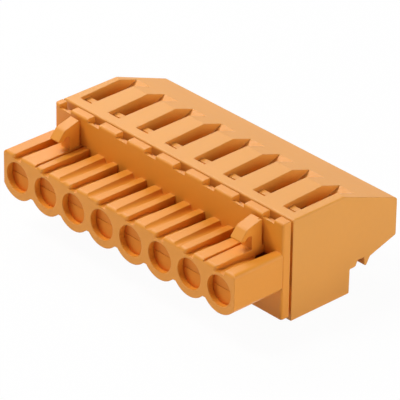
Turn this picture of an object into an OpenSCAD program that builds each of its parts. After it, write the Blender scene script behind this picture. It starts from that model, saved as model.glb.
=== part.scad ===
// Pluggable terminal block, female side, for a row of square pins at a 5.08 mm pitch.
// Two moulded housings hold one socket contact and one cage-clamp spring for each pole.
//
// Inside place() the axes are: X along the row, Y from the mating face towards the wire
// side, Z up from the line through the socket centres. The finished part has its origin
// at the centre of its footprint, on the surface that it stands on.

/* [Row] */
// Number of poles
poles = 8; // [4:1:12]
// Distance between neighbouring poles
pitch = 5.08; // [5:0.01:7.62]

/* [Sockets] */
// Diameter of the hole in each socket tube
socket_d = 3.96; // [3.6:0.02:4.2]
// Wall of a socket tube below its hole
tube_wall = 1.02; // [0.8:0.02:1.4]
// Length of the socket tubes, from the mating face to the plate
tube_length = 7.65; // [6.5:0.05:10]
// Height of the flat top of the tubes above the socket axis
tube_top = 2.96; // [2.7:0.02:3.4]
// Depth of the web between two tubes below the socket axis
web_drop = 1.95; // [1.7:0.05:2.3]
// Radius of the rounded front edge along the top of the tubes
front_edge_r = 0.4; // [0.1:0.05:0.6]
// Radius of the two outer edges along the top of the row
outer_edge_r = 0.5; // [0.1:0.05:0.6]

/* [Top grooves] */
// Width of the groove over each socket, at the mating face
groove_w = 1.2; // [0.8:0.05:1.4]
// How much wider the groove over each socket is at the plate
groove_flare = 0.35; // [0:0.05:0.6]
// Extra width of the groove over the last socket
last_groove_extra = 0.2; // [0:0.05:0.3]
// Thickness left over the socket under the front of its groove
lip_t = 0.34; // [0.2:0.02:0.5]
// Length of the level front part of the groove's floor
lip_length = 3; // [0.6:0.1:5]
// Depth of the groove at the plate, where it opens the socket
groove_rear_depth = 1.5; // [1.2:0.05:1.9]
// Depth at the plate of the wider groove over the last socket
last_groove_depth = 1.2; // [0.7:0.05:1.5]
// Radius that rounds the front end of each rib into the groove on its right
rib_front_r = 0.5; // [0.2:0.05:0.6]
// Width of the rib between the two grooves of a pole
rib_w = 0.95; // [0.6:0.05:1.2]
// Radius of the round key grooves
key_r = 0.7; // [0.65:0.01:0.8]
// Depth of the key grooves at the mating face
key_front_depth = 0.25; // [0.1:0.05:0.5]
// Depth of the round key grooves at the plate
key_rear_depth = 0.7; // [0.55:0.05:0.7]
// Width of the narrow key groove beside each hook
narrow_key_w = 0.4; // [0.2:0.05:0.6]
// Depth of the pocket that ends a narrow key groove at the plate
pocket_depth = 1; // [0.6:0.05:1.4]
// Length of that pocket
pocket_length = 2; // [1:0.1:3]

/* [Plate] */
// Thickness of the plate behind the tubes
plate_t = 1.2; // [1.1:0.05:2]
// Height of the plate's tabs above the socket axis
plate_rise = 6.9; // [6.6:0.05:7.4]
// Depth of the plate below the socket axis
plate_drop = 5.95; // [4.5:0.05:6.9]
// How far the plate stops short of the first tube's outer wall
plate_inset = 0.7; // [0:0.05:1.5]
// Radius of the plate's rounded front edges
plate_edge_r = 0.3; // [0.1:0.05:0.35]
// Width of the notch over each pole in the plate's top edge
notch_w = 2; // [1.2:0.05:3]
// Depth of that notch below the tabs
notch_depth = 0.95; // [0.6:0.05:1.3]
// Thickness of the lip in front of the notch
notch_lip_t = 0.4; // [0.3:0.05:0.7]
// How far the lip lies below the tabs
notch_lip_drop = 0.5; // [0.2:0.05:0.9]
// Open seam between the plate and the rear housing
seam = 0.6; // [0.25:0.05:0.8]

/* [Latch hooks] */
// Width of the hook on the first pole
left_hook_w = 1.53; // [1.2:0.01:2]
// Width of the hook on the last pole
right_hook_w = 1.77; // [1.2:0.01:2]
// Height of the hooks' top at the plate, above the socket axis
hook_rise = 6.5; // [5.8:0.05:6.8]
// How far the hooks reach forward of the plate
hook_reach = 3.86; // [3:0.05:4.6]
// Gap between the hooks and the plate
hook_gap = 0.35; // [0.2:0.05:0.6]

/* [Rear housing] */
// Depth of the whole block, from the mating face to the wire face
depth = 26.6; // [24.6:0.1:34]
// Height of the socket axis above the surface that the block stands on
axis_height = 6.98; // [6.8:0.02:8]
// Height of the flat roof above the socket axis
roof_rise = 6.65; // [6.3:0.05:7.2]
// Depth of the flat roof
roof_depth = 8.3; // [6.8:0.05:8.6]
// Height of the wire face's top edge above the socket axis
back_rise = 3.3; // [3.1:0.05:4]
// Depth of the wire face's bottom edge below the socket axis
back_drop = 1.7; // [1.5:0.05:2]
// Depth of the foot
foot_depth = 9.5; // [9:0.05:10]
// How much shorter than the tubes the rear housing is at each end of the row
end_margin = 0.2; // [0:0.05:0.5]
// Height of the belly behind the foot, below the socket axis
belly_drop = 2.83; // [2.7:0.01:3.4]
// Length of the heel behind the foot
heel_length = 1.33; // [1.1:0.01:1.6]
// How far the heel hangs below the belly
heel_depth = 0.75; // [0.3:0.05:1]
// Gap between the heel and the coding rail
rail_gap = 1.1; // [0.9:0.05:1.4]
// Width of the coding rail where it meets the belly
rail_w = 0.99; // [0.8:0.01:1.2]
// How far the coding rail hangs below the belly
rail_depth = 1.24; // [0.6:0.02:2]
// Radius of the small rounded outer edges
edge_r = 0.25; // [0.1:0.05:0.4]

/* [Screwdriver slots] */
// Width of the slots
slot_w = 2; // [1.6:0.05:2.2]
// Extra width of a slot at its rear end
slot_flare = 0.55; // [0:0.05:0.8]
// Distance from the front of the rear housing to the slots
slot_setback = 1.5; // [1:0.05:2]
// Length of the shallow step at the front of a slot
step_length = 1.75; // [1.4:0.05:2.4]
// Depth of that step below the roof
step_depth = 0.55; // [0.4:0.05:0.8]
// Length of the gutter across the front of the step
gutter_length = 0.9; // [0.6:0.05:1.1]
// Depth of the gutter below the step
gutter_depth = 0.2; // [0.1:0.05:0.3]
// Length of the open shaft behind the step
shaft_length = 2.3; // [1.8:0.05:2.6]
// Slope of the ramp that leads the blade in
ramp_angle = 19.3; // [15:0.1:22]
// How far behind the roof's ridge the ramp comes out
ramp_overrun = 3; // [2.5:0.1:3.4]

/* [Chambers] */
// Width of the chamber of one pole
chamber_w = 3.7; // [3.5:0.05:3.9]
// Headroom in a chamber over the spring's loop
headroom = 0.1; // [0.05:0.01:0.3]
// Thickness of the floor under a chamber
floor_t = 1; // [0.6:0.05:2]
// Thickness of the foot's rear wall
foot_wall_t = 1; // [0.6:0.05:1.6]
// Depth of the wire passage below the socket axis
passage_drop = 1.4; // [1.2:0.05:1.6]

/* [Wire entries] */
// Diameter of the wire hole
entry_d = 3; // [2.4:0.05:3.2]
// Diameter of the funnel's mouth
funnel_d = 4.2; // [3.4:0.05:4.6]
// Depth of the funnel
funnel_depth = 1.7; // [0.8:0.05:2.5]
// Length of the wire hole and its funnel
entry_length = 6.1; // [5:0.05:7]
// Height of the wire holes above the socket axis
entry_rise = 0.8; // [0.7:0.05:0.9]

/* [Contacts] */
// Radius of the rounded nose of each contact leaf
nose_r = 1.9; // [1.6:0.02:1.94]
// Gap between the two leaves at their noses
nose_gap = 0.04; // [0.02:0.02:0.3]
// Thickness of the noses
nose_t = 0.6; // [0.3:0.05:1]
// Depth of the upper nose's outer edge behind the mating face
upper_nose_depth = 0.65; // [0.1:0.05:0.8]
// Depth of the lower nose's outer edge behind the mating face
lower_nose_depth = 0.65; // [0.1:0.05:0.8]
// How far the upper nose leans back towards the pinch point, which guides the pin in
upper_nose_lean = 5; // [0:1:25]
// How far the lower nose leans back
lower_nose_lean = 5; // [0:1:25]
// Depth of the pinch point of the leaves behind the mating face
pinch_depth = 2.6; // [2.3:0.05:3.2]
// Thickness of a contact leaf
leaf_t = 0.4; // [0.3:0.02:0.5]
// Width of a contact leaf
leaf_w = 2.2; // [1.6:0.05:2.4]
// Width of the contact's shoulder
shoulder_w = 3.5; // [3:0.05:3.6]
// Thickness of the contact's shoulder
shoulder_t = 0.8; // [0.6:0.05:1]
// Thickness of the current bar
bar_t = 0.8; // [0.6:0.05:0.9]
// Width of the current bar
bar_w = 2.2; // [1.8:0.05:2.3]
// Height of the current bar's underside above the socket axis
bar_rise = 1.9; // [1.8:0.02:2]
// Length of the current bar behind the shoulder
bar_length = 9.4; // [6:0.1:10]

/* [Clamp springs] */
// Thickness of the spring strip
strip_t = 0.36; // [0.25:0.01:0.4]
// Width of the spring strip
strip_w = 3.3; // [3:0.05:3.4]
// Width of the window in the spring's leg
window_w = 2.4; // [2.3:0.05:2.6]
// Height of the cross bar under the window
cross_h = 0.9; // [0.6:0.05:1.5]
// Distance from the contact's shoulder to the spring's base
spring_setback = 1.3; // [1.2:0.05:1.5]
// Length of the spring's base, from its free end to the loop
spring_base = 1.9; // [1.7:0.05:2]
// Radius of the spring's loop, to the middle of the strip
loop_r = 0.94; // [0.85:0.01:0.97]
// Radius of the bend over the window
shoulder_r = 0.6; // [0.4:0.02:0.7]

/* [Hidden] */
$fn = 48;
cut = 0.01;         // how far a cutter passes a face that it opens
sliding = 0.05;     // clearance between the pieces that slide together
row_w = poles * pitch;
socket_r = socket_d / 2;
tube_r = socket_r + tube_wall;
plate_back = tube_length + plate_t;
front_y = plate_back + seam;            // front of the rear housing
body_w = row_w - 2 * end_margin;
foot_back = front_y + foot_depth;
ridge_y = front_y + roof_depth;
rib_left = -groove_w / 2 - rib_w;       // left face of the rib, from the pole's centre
step_front = front_y + slot_setback;
step_back = step_front + step_length;
shaft_back = step_back + shaft_length;
bar_top = bar_rise + bar_t;
chamber_top = bar_top + strip_t + 2 * loop_r + headroom;
passage_top = bar_top + sliding;
passage_back = depth - entry_length;
orange = [0.9, 0.55, 0.22];
copper = [0.76, 0.44, 0.2];
steel = [0.72, 0.73, 0.75];

function pole_x(i) = (i - (poles - 1) / 2) * pitch;
function arc(centre, r, from, to, steps) =
    [for (k = [0 : steps]) let (a = from + (to - from) * k / steps) centre + r * [cos(a), sin(a)]];
// A corner of an outline, rounded with radius r: a, b and c are three corners in turn
function rounded(a, b, c, r, steps = 4) =
    let (
        u = (a - b) / norm(a - b),
        v = (c - b) / norm(c - b),
        half = acos(u * v) / 2,
        centre = b + (u + v) / norm(u + v) * r / sin(half),
        from = atan2((b + u * r / tan(half) - centre).y, (b + u * r / tan(half) - centre).x),
        to = atan2((b + v * r / tan(half) - centre).y, (b + v * r / tan(half) - centre).x),
        turn = (to - from) - 360 * round((to - from) / 360)
    )
    arc(centre, r, from, from + turn, steps);
// An outline of corners, each a point and a radius, as plain points
function outline(corners) =
    let (n = len(corners))
    [for (k = [0 : n - 1])
        let (
            b = corners[k],
            a = corners[(k + n - 1) % n],
            c = corners[(k + 1) % n]
        )
        each b[2] > 0 ? rounded([a.x, a.y], [b.x, b.y], [c.x, c.y], b[2]) : [[b.x, b.y]]];

module place() translate([0, -depth / 2, axis_height]) children();
module at_pole(i) translate([pole_x(i), 0, 0]) children();
module at_poles() for (i = [0 : poles - 1]) at_pole(i) children();
// A [y, z] outline drawn out along the row, w wide and centred
module along_row(w) translate([-w / 2, 0, 0]) rotate([90, 0, 90]) linear_extrude(w) children();
// An [x, z] outline drawn out from y0 to y1
module along_depth(y0, y1) translate([0, y1, 0]) rotate([90, 0, 0]) linear_extrude(y1 - y0) children();
// An [x, y] outline drawn out from z0 to z1
module upright(z0, z1) translate([0, 0, z0]) linear_extrude(z1 - z0) children();
// A rod along Y from y0 to y1, with its own radius at each end
module rod(r0, r1, y0, y1) translate([0, y0, 0]) rotate([-90, 0, 0]) cylinder(h = y1 - y0, r1 = r0, r2 = r1);
// A block between two corners
module block(low, high) translate(low) cube(high - low);

// ---- front housing ----

// The row of tubes: round below, flat on top, with straight outer walls
module tubes() {
    intersection() {
        union() {
            at_poles() rod(tube_r, tube_r, 0, tube_length + cut);
            along_depth(0, tube_length + cut) polygon(outline([
                [-row_w / 2, -web_drop, 0],
                [row_w / 2, -web_drop, 0],
                [row_w / 2, tube_top, outer_edge_r],
                [-row_w / 2, tube_top, outer_edge_r]
            ]));
        }
        block([-row_w / 2, 0, -tube_r - cut], [row_w / 2, tube_length + cut, tube_top]);
    }
}

// Takes the outer corners of the web away from the first and last tubes
module end_tube_cut(side) {
    translate([side * row_w / 2, 0, 0])
        difference() {
            block([-pitch / 2, -cut, -tube_r - 1], [pitch / 2, tube_length, 0]);
            translate([-side * pitch / 2, 0, 0]) rod(tube_r, tube_r, -1, tube_length + 1);
        }
}

// Rounds the long front edge on top of the tubes
module front_edge_cut() {
    along_row(row_w + 1)
        translate([0, tube_top - front_edge_r])
            difference() {
                translate([-cut, 0]) square([front_edge_r + cut, front_edge_r + cut]);
                translate([front_edge_r, 0]) circle(front_edge_r);
            }
}

// The groove over a socket: its floor covers the socket at the front, then falls to rear_depth
module socket_groove(extra, rear_depth) {
    left = -groove_w / 2;
    right = groove_w / 2 + extra;
    plan = concat(
        [[left, tube_length], [right + extra + groove_flare, tube_length], [right, -cut]],
        [[left - rib_front_r, -cut]],
        arc([left - rib_front_r, rib_front_r], rib_front_r, -90, 0, 5)
    );
    intersection() {
        upright(0, tube_top + 1) polygon(plan);
        along_row(pitch) polygon([
            [-cut, socket_r + lip_t],
            [lip_length, socket_r + lip_t],
            [tube_length, tube_top - rear_depth],
            [tube_length, tube_top + 1],
            [-cut, tube_top + 1]
        ]);
    }
}

// A round key groove whose right side is at x = right: it gets deeper towards the plate
module round_key_groove(right) {
    fall = atan((key_rear_depth - key_front_depth) / tube_length);
    translate([right - key_r, tube_length, tube_top - key_rear_depth + key_r])
        rotate([-fall, 0, 0]) rod(key_r, key_r, -tube_length - 1, 0.2);
}

// The narrow key groove beside a hook, with its right wall at x = right and a pocket at the plate
module narrow_key_groove(right) {
    translate([right - narrow_key_w / 2, 0, 0])
        along_row(narrow_key_w) polygon([
            [-cut, tube_top - key_front_depth],
            [tube_length - pocket_length, tube_top - key_front_depth],
            [tube_length - 0.6 * pocket_length, tube_top - pocket_depth],
            [tube_length, tube_top - pocket_depth],
            [tube_length, tube_top + 1],
            [-cut, tube_top + 1]
        ]);
}

// The key grooves: one on the left of each rib but the first
module key_grooves() {
    for (i = [1 : poles - 1])
        at_pole(i)
            if (i == 1) narrow_key_groove(rib_left);
            else if (i == poles - 1) narrow_key_groove(-groove_w / 2 - right_hook_w);
            else round_key_groove(rib_left);
}

// The plate, with its front edges rounded at the ends and along the top
module plate() {
    left = -row_w / 2 + plate_inset;
    r = plate_edge_r;
    intersection() {
        upright(-plate_drop, plate_rise) polygon(outline([
            [left, tube_length, r],
            [row_w / 2, tube_length, r],
            [row_w / 2, plate_back, 0],
            [left, plate_back, 0]
        ]));
        along_row(2 * row_w) polygon(outline([
            [tube_length, -plate_drop, 0],
            [plate_back, -plate_drop, 0],
            [plate_back, plate_rise, 0],
            [tube_length, plate_rise, r]
        ]));
    }
}

// The notch over a pole: a low lip in front and a deep pocket open to the seam
module plate_notch() {
    block([-notch_w / 2, tube_length - 1, plate_rise - notch_lip_drop],
          [notch_w / 2, plate_back + 1, plate_rise + 1]);
    block([-notch_w / 2, tube_length + notch_lip_t, plate_rise - notch_depth],
          [notch_w / 2, plate_back + 1, plate_rise + 1]);
}

// A latch hook on its post: the nose points forward and the back stands clear of the plate
module hook(w) {
    back = tube_length - hook_gap;
    tip = tube_length - hook_reach;
    top = hook_rise;
    along_row(w) polygon(outline([
        [back, tube_top - 0.2, 0],
        [back, top, 0.12],
        [tip + 1.15, top - 0.62, 0.8],
        [tip, top - 1.95, 0.15],
        [tip + 0.75, top - 2.05, 0.3],
        [tip + 1.25, top - 1.62, 0.4],
        [tip + 1.9, top - 1.7, 0.15],
        [tip + 1.9, tube_top - 0.2, 0]
    ]));
}

// Pads behind the plate, between the poles, that set the seam
module seam_pads() {
    pad_w = 0.8 * (pitch - chamber_w);
    for (i = [0 : poles - 2])
        translate([pole_x(i) + pitch / 2, 0, 0])
            block([-pad_w / 2, plate_back - cut, -plate_drop + 1],
                  [pad_w / 2, front_y, plate_rise - notch_depth - 1]);
}

// A peg behind the plate that enters the lower part of a pole's chamber
module peg() {
    half_w = chamber_w / 2 - sliding;
    peg_length = 2;
    block([-half_w, plate_back - cut, -axis_height + floor_t + sliding],
          [half_w, front_y + peg_length, -passage_drop - 1]);
}

module front_housing() color(orange) place() {
    difference() {
        union() {
            difference() {
                tubes();
                front_edge_cut();
                key_grooves();
                for (i = [0 : poles - 2]) at_pole(i) socket_groove(0, groove_rear_depth);
                at_pole(poles - 1) socket_groove(last_groove_extra, last_groove_depth);
            }
            plate();
            translate([pole_x(1) + rib_left - narrow_key_w - left_hook_w / 2 - 0.1, 0, 0]) hook(left_hook_w);
            translate([pole_x(poles - 1) - (groove_w + right_hook_w) / 2, 0, 0]) hook(right_hook_w);
            seam_pads();
            at_poles() peg();
        }
        at_poles() rod(socket_r, socket_r, -1, plate_back + cut);
        at_poles() plate_notch();
        for (side = [-1, 1]) end_tube_cut(side);
    }
}

// ---- rear housing ----

// The side view of the rear housing, as corners with their radii
function rear_corners() =
    let (
        heel_back = foot_back + heel_length,
        rail_front = heel_back + rail_gap
    )
    [
        [front_y, -axis_height, edge_r],
        [front_y, roof_rise, edge_r],
        [ridge_y, roof_rise, 0.3],
        [depth, back_rise, 2 * edge_r],
        [depth, -back_drop, edge_r],
        [rail_front + rail_w, -belly_drop - 0.2, 0.1],
        [rail_front + 0.37, -belly_drop - rail_depth, 0.15],
        [rail_front + 0.09, -belly_drop - rail_depth + 0.1, 0.1],
        [rail_front, -belly_drop, 0.1],
        [heel_back, -belly_drop, 0.1],
        [heel_back - 0.33, -belly_drop - heel_depth, 0.3],
        [foot_back + 0.05, -belly_drop - heel_depth, 0.15],
        [foot_back, -axis_height, edge_r]
    ];

// The screwdriver slot of a pole: a shallow step, an open shaft and a ramp that rises to the back
module slot() {
    slope = tan(ramp_angle);
    fall = (roof_rise - back_rise) / (depth - ridge_y);
    tip_y = ridge_y + ramp_overrun;
    tip_z = roof_rise - fall * (tip_y - ridge_y);
    side = [
        [step_front, roof_rise + 1],
        [step_front, roof_rise - step_depth - gutter_depth],
        [step_front + gutter_length, roof_rise - step_depth - gutter_depth],
        [step_front + gutter_length, roof_rise - step_depth],
        [step_back, roof_rise - step_depth],
        [step_back, chamber_top - cut],
        [step_back, bar_top + 0.5],
        [shaft_back, tip_z - slope * (tip_y - shaft_back)],
        [tip_y, tip_z],
        [tip_y + 0.5, tip_z + 0.5 * slope],
        [tip_y + 0.5, roof_rise + 1]
    ];
    plan = [
        [-slot_w / 2, step_front],
        [slot_w / 2, step_front],
        [slot_w / 2, tip_y + 1],
        [-slot_w / 2 - slot_flare, tip_y + 1]
    ];
    intersection() {
        along_row(pitch) polygon(side);
        upright(0, roof_rise + 2) polygon(plan);
    }
}

// The chamber of a pole: open to the front, with the wire passage behind it
module chamber() {
    along_row(chamber_w) polygon([
        [front_y - cut, -axis_height + floor_t],
        [foot_back - foot_wall_t, -axis_height + floor_t],
        [foot_back - foot_wall_t, -passage_drop],
        [passage_back, -passage_drop],
        [passage_back, passage_top],
        [shaft_back, passage_top],
        [shaft_back, chamber_top],
        [front_y - cut, chamber_top]
    ]);
}

module wire_entry() translate([0, 0, entry_rise]) {
    rod(entry_d / 2, entry_d / 2, passage_back - cut, depth + cut);
    rod(entry_d / 2, funnel_d / 2, depth - funnel_depth, depth + cut);
}

module rear_housing() color(orange) place() {
    difference() {
        intersection() {
            along_row(row_w) polygon(outline(rear_corners()));
            along_depth(-1, depth + 1) polygon(outline([
                [-body_w / 2, -axis_height, edge_r],
                [body_w / 2, -axis_height, edge_r],
                [body_w / 2, roof_rise, edge_r],
                [-body_w / 2, roof_rise, edge_r]
            ]));
        }
        at_poles() {
            chamber();
            slot();
            wire_entry();
        }
    }
}

// ---- contacts ----

// One leaf of a socket contact, from its leaning nose to the shoulder; side is 1 above, -1 below
module leaf(side, nose_depth, nose_lean) {
    spread = nose_gap / 2;
    root = spread + 0.45;
    shoulder_y = plate_back + sliding;
    lean = (socket_r - spread) * tan(nose_lean);
    joint_y = nose_depth + lean + nose_t / 2;
    intersection() {
        translate([0, 0, side * (socket_r - nose_r - 0.02)])
            rod(nose_r, nose_r, nose_depth, joint_y + nose_t);
        along_row(pitch) polygon([
            [nose_depth, side * socket_r],
            [nose_depth + nose_t, side * socket_r],
            [nose_depth + nose_t + lean, side * spread],
            [nose_depth + lean, side * spread]
        ]);
    }
    along_row(leaf_w) polygon([
        [joint_y, side * (spread + 0.3)],
        [pinch_depth, side * spread],
        [shoulder_y + cut, side * root],
        [shoulder_y + cut, side * (root + leaf_t)],
        [pinch_depth, side * (spread + leaf_t)],
        [joint_y, side * (spread + 0.3 + leaf_t)]
    ]);
}

module contact() {
    shoulder_y = plate_back + sliding;
    leaf(1, upper_nose_depth, upper_nose_lean);
    leaf(-1, lower_nose_depth, lower_nose_lean);
    block([-shoulder_w / 2, shoulder_y, -passage_drop + 0.2],
          [shoulder_w / 2, shoulder_y + shoulder_t, bar_top]);
    block([-bar_w / 2, shoulder_y + cut, bar_rise],
          [bar_w / 2, shoulder_y + shoulder_t + bar_length, bar_top]);
}

// ---- clamp springs ----

// A strip of sheet metal in the [y, z] plane that starts at the origin along +Y.
// Each move is [length, 0] for a straight stretch or [radius, angle] for a bend.
module strip(moves, k = 0) {
    if (k < len(moves)) {
        size = moves[k][0];
        turn = moves[k][1];
        if (turn == 0) {
            block([-strip_w / 2, -cut, -strip_t / 2], [strip_w / 2, size, strip_t / 2]);
            translate([0, size, 0]) strip(moves, k + 1);
        } else {
            up = sign(turn);
            translate([0, 0, up * size])
                rotate([turn, 0, 0])
                    translate([0, 0, -up * size]) strip(moves, k + 1);
            translate([-strip_w / 2, 0, up * size])
                rotate([0, 90, 0])
                    rotate([0, 0, up > 0 ? 0 : 180 - abs(turn)])
                        rotate_extrude(angle = abs(turn))
                            translate([size - strip_t / 2, 0]) square([strip_t, strip_w]);
        }
    }
}

module clamp_spring() {
    base_y = plate_back + sliding + shoulder_t + spring_setback;
    top_length = spring_base + 0.5;
    leg_top = bar_top + strip_t / 2 + 2 * loop_r - shoulder_r;
    leg_length = leg_top - bar_rise + cross_h;
    leg_y = base_y + spring_base - top_length - shoulder_r;
    difference() {
        translate([0, base_y, bar_top + strip_t / 2])
            strip([
                [spring_base, 0],
                [loop_r, 180],
                [top_length, 0],
                [shoulder_r, 90],
                [leg_length, 0]
            ]);
        block([-window_w / 2, leg_y - strip_t, bar_rise], [window_w / 2, leg_y + strip_t, leg_top]);
    }
}

front_housing();
rear_housing();
for (i = [0 : poles - 1]) {
    color(copper) place() at_pole(i) contact();
    color(steel) place() at_pole(i) clamp_spring();
}
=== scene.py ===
"""Finish, light and view for an eight-pole pluggable terminal block in orange plastic."""

import math

import bpy
from mathutils import Matrix, Vector

MM = 0.001

# Linear colours of the two mouldings and of the metal inside them
FRONT_ORANGE = (0.78, 0.288, 0.026)
REAR_ORANGE = (0.76, 0.318, 0.048)
CONTACT_BRONZE = (0.68, 0.21, 0.018)
SPRING_STEEL = (0.58, 0.58, 0.60)

# Moulded plastic: a slow drift of colour, a fine mottle, and the grain of the mould.
# A tint is the range of factors that the colour is multiplied by.
FLOW_SIZE = 9 * MM
FLOW_TINT = (0.965, 1.035)
MOTTLE_SIZE = 0.7 * MM
MOTTLE_TINT = (0.98, 1.02)
GRAIN_SIZE = 0.09 * MM
GRAIN_DEPTH = 0.004 * MM
PLASTIC_ROUGHNESS = (0.4, 0.5)
PLASTIC_IOR = 1.42
PLASTIC_EDGE = 0.14 * MM

# Stamped metal: drawing marks that run along Y, under a cloudy tarnish
MARK_SIZE = 0.12 * MM
MARK_STRETCH = (1.0, 0.08, 1.0)
MARK_DEPTH = 0.003 * MM
TARNISH_SIZE = 1.5 * MM
TARNISH_TINT = (0.85, 1.05)
METAL_EDGE = 0.08 * MM
BRONZE_ROUGHNESS = (0.32, 0.48)
BRONZE_METALLIC = 0.85
STEEL_ROUGHNESS = (0.22, 0.38)
STEEL_METALLIC = 1.0

# How many rays feel out a soft edge
EDGE_SAMPLES = 6

# The floor: its grey for light that bounces, its side, and its share of glow where it is seen
FLOOR_GREY = (0.85, 0.85, 0.85, 1.0)
FLOOR_ROUGHNESS = 0.9
FLOOR_SIDE = 4.0
FLOOR_WHITENESS = 0.96

# The surround's strength as a light, and as it is seen
WORLD_LIGHT = 0.05
WORLD_SEEN = 1.0

# Each lamp's name, azimuth and elevation in degrees, distance and diameter in metres, and watts
LAMPS = (
    ("key", -54, 59, 0.5, 0.2, 1.64),
    ("fill", -20, 45, 0.5, 0.2, 0.25),
    ("side", 108, 10, 0.5, 0.5, 2.15),
    ("sheen", 228, 27, 0.5, 0.25, 0.2),
    ("hook_sheen", 243, 44, 0.5, 0.15, 0.72),
    ("near", 25, 5, 0.17, 0.05, 0.03),
)

# The camera: its angles in degrees, its lens and sensor in mm, and its distance from a target
VIEW_AZIMUTH = 46.738
VIEW_ELEVATION = 29.581
VIEW_ROLL = 0.799
VIEW_LENS = 357.32
VIEW_SENSOR = 36
VIEW_DISTANCE = 475.76 * MM
VIEW_TARGET = Vector((0.406, -0.148, 6.643)) * MM
# The nearest and farthest distances in view, in metres
VIEW_CLIP = (0.01, 20)


# ---- shader nodes ----


def new_material(name):
    """An empty node material with a Principled shader joined to its output."""
    material = bpy.data.materials.new(name)
    material.use_nodes = True
    tree = material.node_tree
    tree.nodes.clear()
    shader = tree.nodes.new("ShaderNodeBsdfPrincipled")
    output = tree.nodes.new("ShaderNodeOutputMaterial")
    tree.links.new(shader.outputs["BSDF"], output.inputs["Surface"])
    return material, tree, shader


def object_coordinates(tree):
    """Places measured on the piece itself, in metres."""
    return tree.nodes.new("ShaderNodeTexCoord").outputs["Object"]


def noise(tree, vector, size, detail=2.0, roughness=0.5):
    """Noise whose features are about size metres across."""
    node = tree.nodes.new("ShaderNodeTexNoise")
    node.inputs["Scale"].default_value = 1.0 / size
    node.inputs["Detail"].default_value = detail
    node.inputs["Roughness"].default_value = roughness
    tree.links.new(vector, node.inputs["Vector"])
    return node.outputs["Fac"]


def remap(tree, value, limits):
    """A value that runs from 0 to 1, stretched to run from the low limit to the high one."""
    node = tree.nodes.new("ShaderNodeMapRange")
    node.inputs["To Min"].default_value, node.inputs["To Max"].default_value = limits
    tree.links.new(value, node.inputs["Value"])
    return node.outputs["Result"]


def combine(tree, operation, first, second):
    """The result of a math operation on two values."""
    node = tree.nodes.new("ShaderNodeMath")
    node.operation = operation
    tree.links.new(first, node.inputs[0])
    tree.links.new(second, node.inputs[1])
    return node.outputs["Value"]


def mix_shaders(tree, share, first, second):
    """The first shader, with a share of the second in its place."""
    node = tree.nodes.new("ShaderNodeMixShader")
    tree.links.new(share, node.inputs["Fac"])
    tree.links.new(first, node.inputs[1])
    tree.links.new(second, node.inputs[2])
    return node.outputs["Shader"]


def shade_colour(tree, colour, factor):
    """The colour times a factor near 1."""
    node = tree.nodes.new("ShaderNodeVectorMath")
    node.operation = "SCALE"
    node.inputs[0].default_value = colour
    tree.links.new(factor, node.inputs["Scale"])
    return node.outputs["Vector"]


def bump(tree, height, depth, normal):
    """The normal, tilted by a relief that is depth metres deep."""
    node = tree.nodes.new("ShaderNodeBump")
    node.inputs["Strength"].default_value = 1.0
    node.inputs["Distance"].default_value = depth
    tree.links.new(height, node.inputs["Height"])
    tree.links.new(normal, node.inputs["Normal"])
    return node.outputs["Normal"]


def soft_edges(tree, radius):
    """A normal that rolls over the edges, as every moulded or stamped edge does."""
    node = tree.nodes.new("ShaderNodeBevel")
    node.samples = EDGE_SAMPLES
    node.inputs["Radius"].default_value = radius
    return node.outputs["Normal"]


def seen_rays(tree):
    """1 for the rays that the eye sees the surround by: straight, mirrored or through glass."""
    path = tree.nodes.new("ShaderNodeLightPath")
    total = path.outputs["Is Camera Ray"]
    for ray in ("Is Glossy Ray", "Is Transmission Ray"):
        total = combine(tree, "MAXIMUM", total, path.outputs[ray])
    return total


# ---- materials ----


def moulded_plastic(name, colour):
    """Satin engineering plastic with the fine grain of a spark-eroded mould."""
    material, tree, shader = new_material(name)
    place = object_coordinates(tree)
    flow = noise(tree, place, FLOW_SIZE, detail=1.0)
    mottle = noise(tree, place, MOTTLE_SIZE, detail=3.0)
    grain = noise(tree, place, GRAIN_SIZE, detail=2.0)
    tint = combine(
        tree,
        "MULTIPLY",
        remap(tree, flow, FLOW_TINT),
        remap(tree, mottle, MOTTLE_TINT),
    )
    tree.links.new(shade_colour(tree, colour, tint), shader.inputs["Base Color"])
    tree.links.new(remap(tree, mottle, PLASTIC_ROUGHNESS), shader.inputs["Roughness"])
    normal = bump(tree, grain, GRAIN_DEPTH, soft_edges(tree, PLASTIC_EDGE))
    tree.links.new(normal, shader.inputs["Normal"])
    shader.inputs["IOR"].default_value = PLASTIC_IOR
    return material


def stamped_metal(name, colour, roughness, metallic):
    """Rolled strip: fine lengthwise drawing marks under a soft sheen."""
    material, tree, shader = new_material(name)
    place = object_coordinates(tree)
    stretch = tree.nodes.new("ShaderNodeMapping")
    stretch.inputs["Scale"].default_value = MARK_STRETCH
    tree.links.new(place, stretch.inputs["Vector"])
    marks = noise(tree, stretch.outputs["Vector"], MARK_SIZE, detail=4.0, roughness=0.6)
    tarnish = noise(tree, place, TARNISH_SIZE, detail=2.0)
    tint = remap(tree, tarnish, TARNISH_TINT)
    tree.links.new(shade_colour(tree, colour, tint), shader.inputs["Base Color"])
    tree.links.new(remap(tree, marks, roughness), shader.inputs["Roughness"])
    normal = bump(tree, marks, MARK_DEPTH, soft_edges(tree, METAL_EDGE))
    tree.links.new(normal, shader.inputs["Normal"])
    shader.inputs["Metallic"].default_value = metallic
    return material


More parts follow.
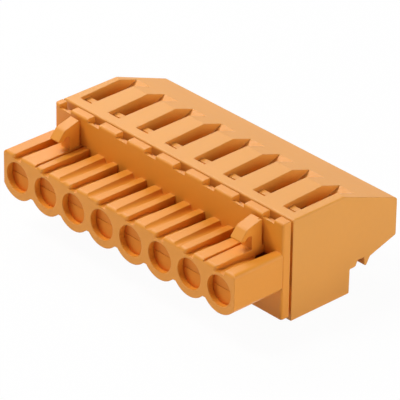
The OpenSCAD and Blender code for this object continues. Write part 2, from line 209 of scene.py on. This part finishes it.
def floor_material():
    """A pale floor that the eye sees as near white, with the block's shadow kept faint."""
    material, tree, shader = new_material("pale_floor")
    output = next(n for n in tree.nodes if n.type == "OUTPUT_MATERIAL")
    shader.inputs["Base Color"].default_value = FLOOR_GREY
    shader.inputs["Roughness"].default_value = FLOOR_ROUGHNESS
    glow = tree.nodes.new("ShaderNodeEmission").outputs["Emission"]
    share = remap(tree, seen_rays(tree), (0.0, FLOOR_WHITENESS))
    mixed = mix_shaders(tree, share, shader.outputs["BSDF"], glow)
    tree.links.new(mixed, output.inputs["Surface"])
    return material


def assign(node, material):
    """The material in every slot of a CAD node."""
    if not node.data.materials:
        node.data.materials.append(material)
    for slot in node.material_slots:
        slot.material = material


# ---- stage ----


def direction(azimuth, elevation):
    """The unit vector from the block toward a place; azimuth 0 is in front and 90 at the right."""
    a = math.radians(azimuth)
    e = math.radians(elevation)
    return Vector((math.sin(a) * math.cos(e), -math.cos(a) * math.cos(e), math.sin(e)))


def add_camera():
    """The camera that the VIEW values describe."""
    roll = math.radians(VIEW_ROLL)
    back = direction(VIEW_AZIMUTH, VIEW_ELEVATION)
    level = Vector((0, 0, 1)).cross(back).normalized()
    upright = back.cross(level)
    right = level * math.cos(roll) + upright * math.sin(roll)
    up = upright * math.cos(roll) - level * math.sin(roll)
    data = bpy.data.cameras.new("camera")
    data.lens = VIEW_LENS
    data.sensor_width = VIEW_SENSOR
    data.clip_start, data.clip_end = VIEW_CLIP
    camera = bpy.data.objects.new("camera", data)
    bpy.context.scene.collection.objects.link(camera)
    pose = Matrix((right, up, back)).transposed().to_4x4()
    pose.translation = VIEW_TARGET + back * VIEW_DISTANCE
    camera.matrix_world = pose
    bpy.context.scene.camera = camera


def add_lamp(name, azimuth, elevation, distance, diameter, power):
    """A round soft box that faces the block, and that the camera doesn't see."""
    back = direction(azimuth, elevation)
    data = bpy.data.lights.new(name, "AREA")
    data.shape = "DISK"
    data.size = diameter
    data.energy = power
    lamp = bpy.data.objects.new(name, data)
    bpy.context.scene.collection.objects.link(lamp)
    lamp.location = back * distance
    lamp.rotation_euler = back.to_track_quat("Z", "Y").to_euler()
    lamp.visible_camera = False


def add_world():
    """A dim, even studio surround, which the eye and reflections see as white."""
    world = bpy.data.worlds.new("studio")
    bpy.context.scene.world = world
    world.use_nodes = True
    tree = world.node_tree
    tree.nodes.clear()
    surrounds = []
    for strength in (WORLD_LIGHT, WORLD_SEEN):
        node = tree.nodes.new("ShaderNodeBackground")
        node.inputs["Strength"].default_value = strength
        surrounds.append(node.outputs["Background"])
    output = tree.nodes.new("ShaderNodeOutputWorld")
    mixed = mix_shaders(tree, seen_rays(tree), *surrounds)
    tree.links.new(mixed, output.inputs["Surface"])


def add_floor():
    """The floor under the block."""
    bpy.ops.mesh.primitive_plane_add(size=FLOOR_SIDE)
    floor = bpy.context.object
    floor.name = "floor"
    floor.data.materials.append(floor_material())


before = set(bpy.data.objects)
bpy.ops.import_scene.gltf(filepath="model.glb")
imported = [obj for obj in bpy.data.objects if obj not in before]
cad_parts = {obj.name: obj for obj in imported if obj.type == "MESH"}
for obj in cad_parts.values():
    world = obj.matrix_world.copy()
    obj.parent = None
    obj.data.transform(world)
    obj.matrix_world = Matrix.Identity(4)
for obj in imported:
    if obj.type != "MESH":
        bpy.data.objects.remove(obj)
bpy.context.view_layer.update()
bpy.context.scene.view_settings.view_transform = "Standard"

front_plastic = moulded_plastic("front_orange", FRONT_ORANGE)
rear_plastic = moulded_plastic("rear_orange", REAR_ORANGE)
bronze = stamped_metal("contact_bronze", CONTACT_BRONZE, BRONZE_ROUGHNESS, BRONZE_METALLIC)
steel = stamped_metal("spring_steel", SPRING_STEEL, STEEL_ROUGHNESS, STEEL_METALLIC)
for name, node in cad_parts.items():
    if name.startswith("contact"):
        assign(node, bronze)
    elif name.startswith("clamp_spring"):
        assign(node, steel)
    else:
        assign(node, front_plastic if name == "front_housing" else rear_plastic)

add_camera()
add_world()
for lamp in LAMPS:
    add_lamp(*lamp)
add_floor()
